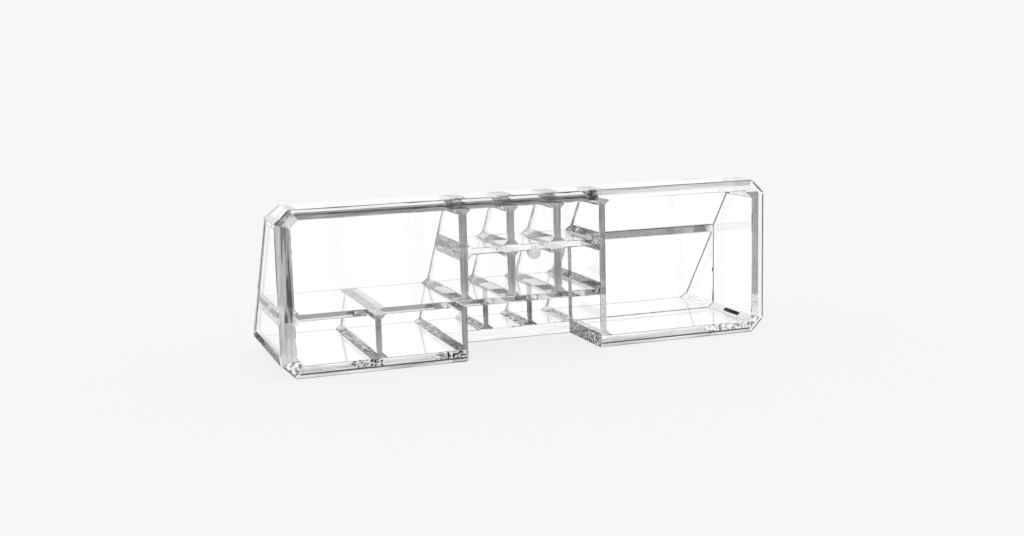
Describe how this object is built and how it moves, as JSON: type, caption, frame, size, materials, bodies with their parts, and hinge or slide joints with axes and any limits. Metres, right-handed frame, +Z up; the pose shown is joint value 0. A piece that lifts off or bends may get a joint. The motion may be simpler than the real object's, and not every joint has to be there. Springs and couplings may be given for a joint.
{
  "type": "cosmetic organizer",
  "caption": "Open-fronted clear acrylic cosmetic organizer with a slanted back, a large bay at each side and a grid of lipstick cells over a finger recess.",
  "frame": {"origin": "middle of the footprint, on the surface it stands on", "axes": "+X to the right seen from the open front, +Y to the slanted back, +Z up"},
  "size_m": [0.3038, 0.1022, 0.0955],
  "materials": {
    "clear_acrylic": "polished, clear"
  },
  "bodies": {
    "root": {"base_panel": "clear_acrylic", "top_panel": "clear_acrylic", "left_side_panel": "clear_acrylic", "right_side_panel": "clear_acrylic", "top_left_corner_strip": "clear_acrylic", "top_right_corner_strip": "clear_acrylic", "bottom_left_corner_strip": "clear_acrylic", "bottom_right_corner_strip": "clear_acrylic", "back_panel": "clear_acrylic", "middle_shelf": "clear_acrylic", "upper_shelf": "clear_acrylic", "left_bay_divider": "clear_acrylic", "left_center_wall_lower": "clear_acrylic", "left_center_wall_upper": "clear_acrylic", "right_center_wall": "clear_acrylic", "right_bay_rear_panel": "clear_acrylic", "top_row_divider_left": "clear_acrylic", "top_row_divider_right": "clear_acrylic", "middle_row_divider_left": "clear_acrylic", "middle_row_divider_right": "clear_acrylic", "bottom_row_divider_left": "clear_acrylic", "bottom_row_divider_right": "clear_acrylic"}
  },
  "joints": []
}
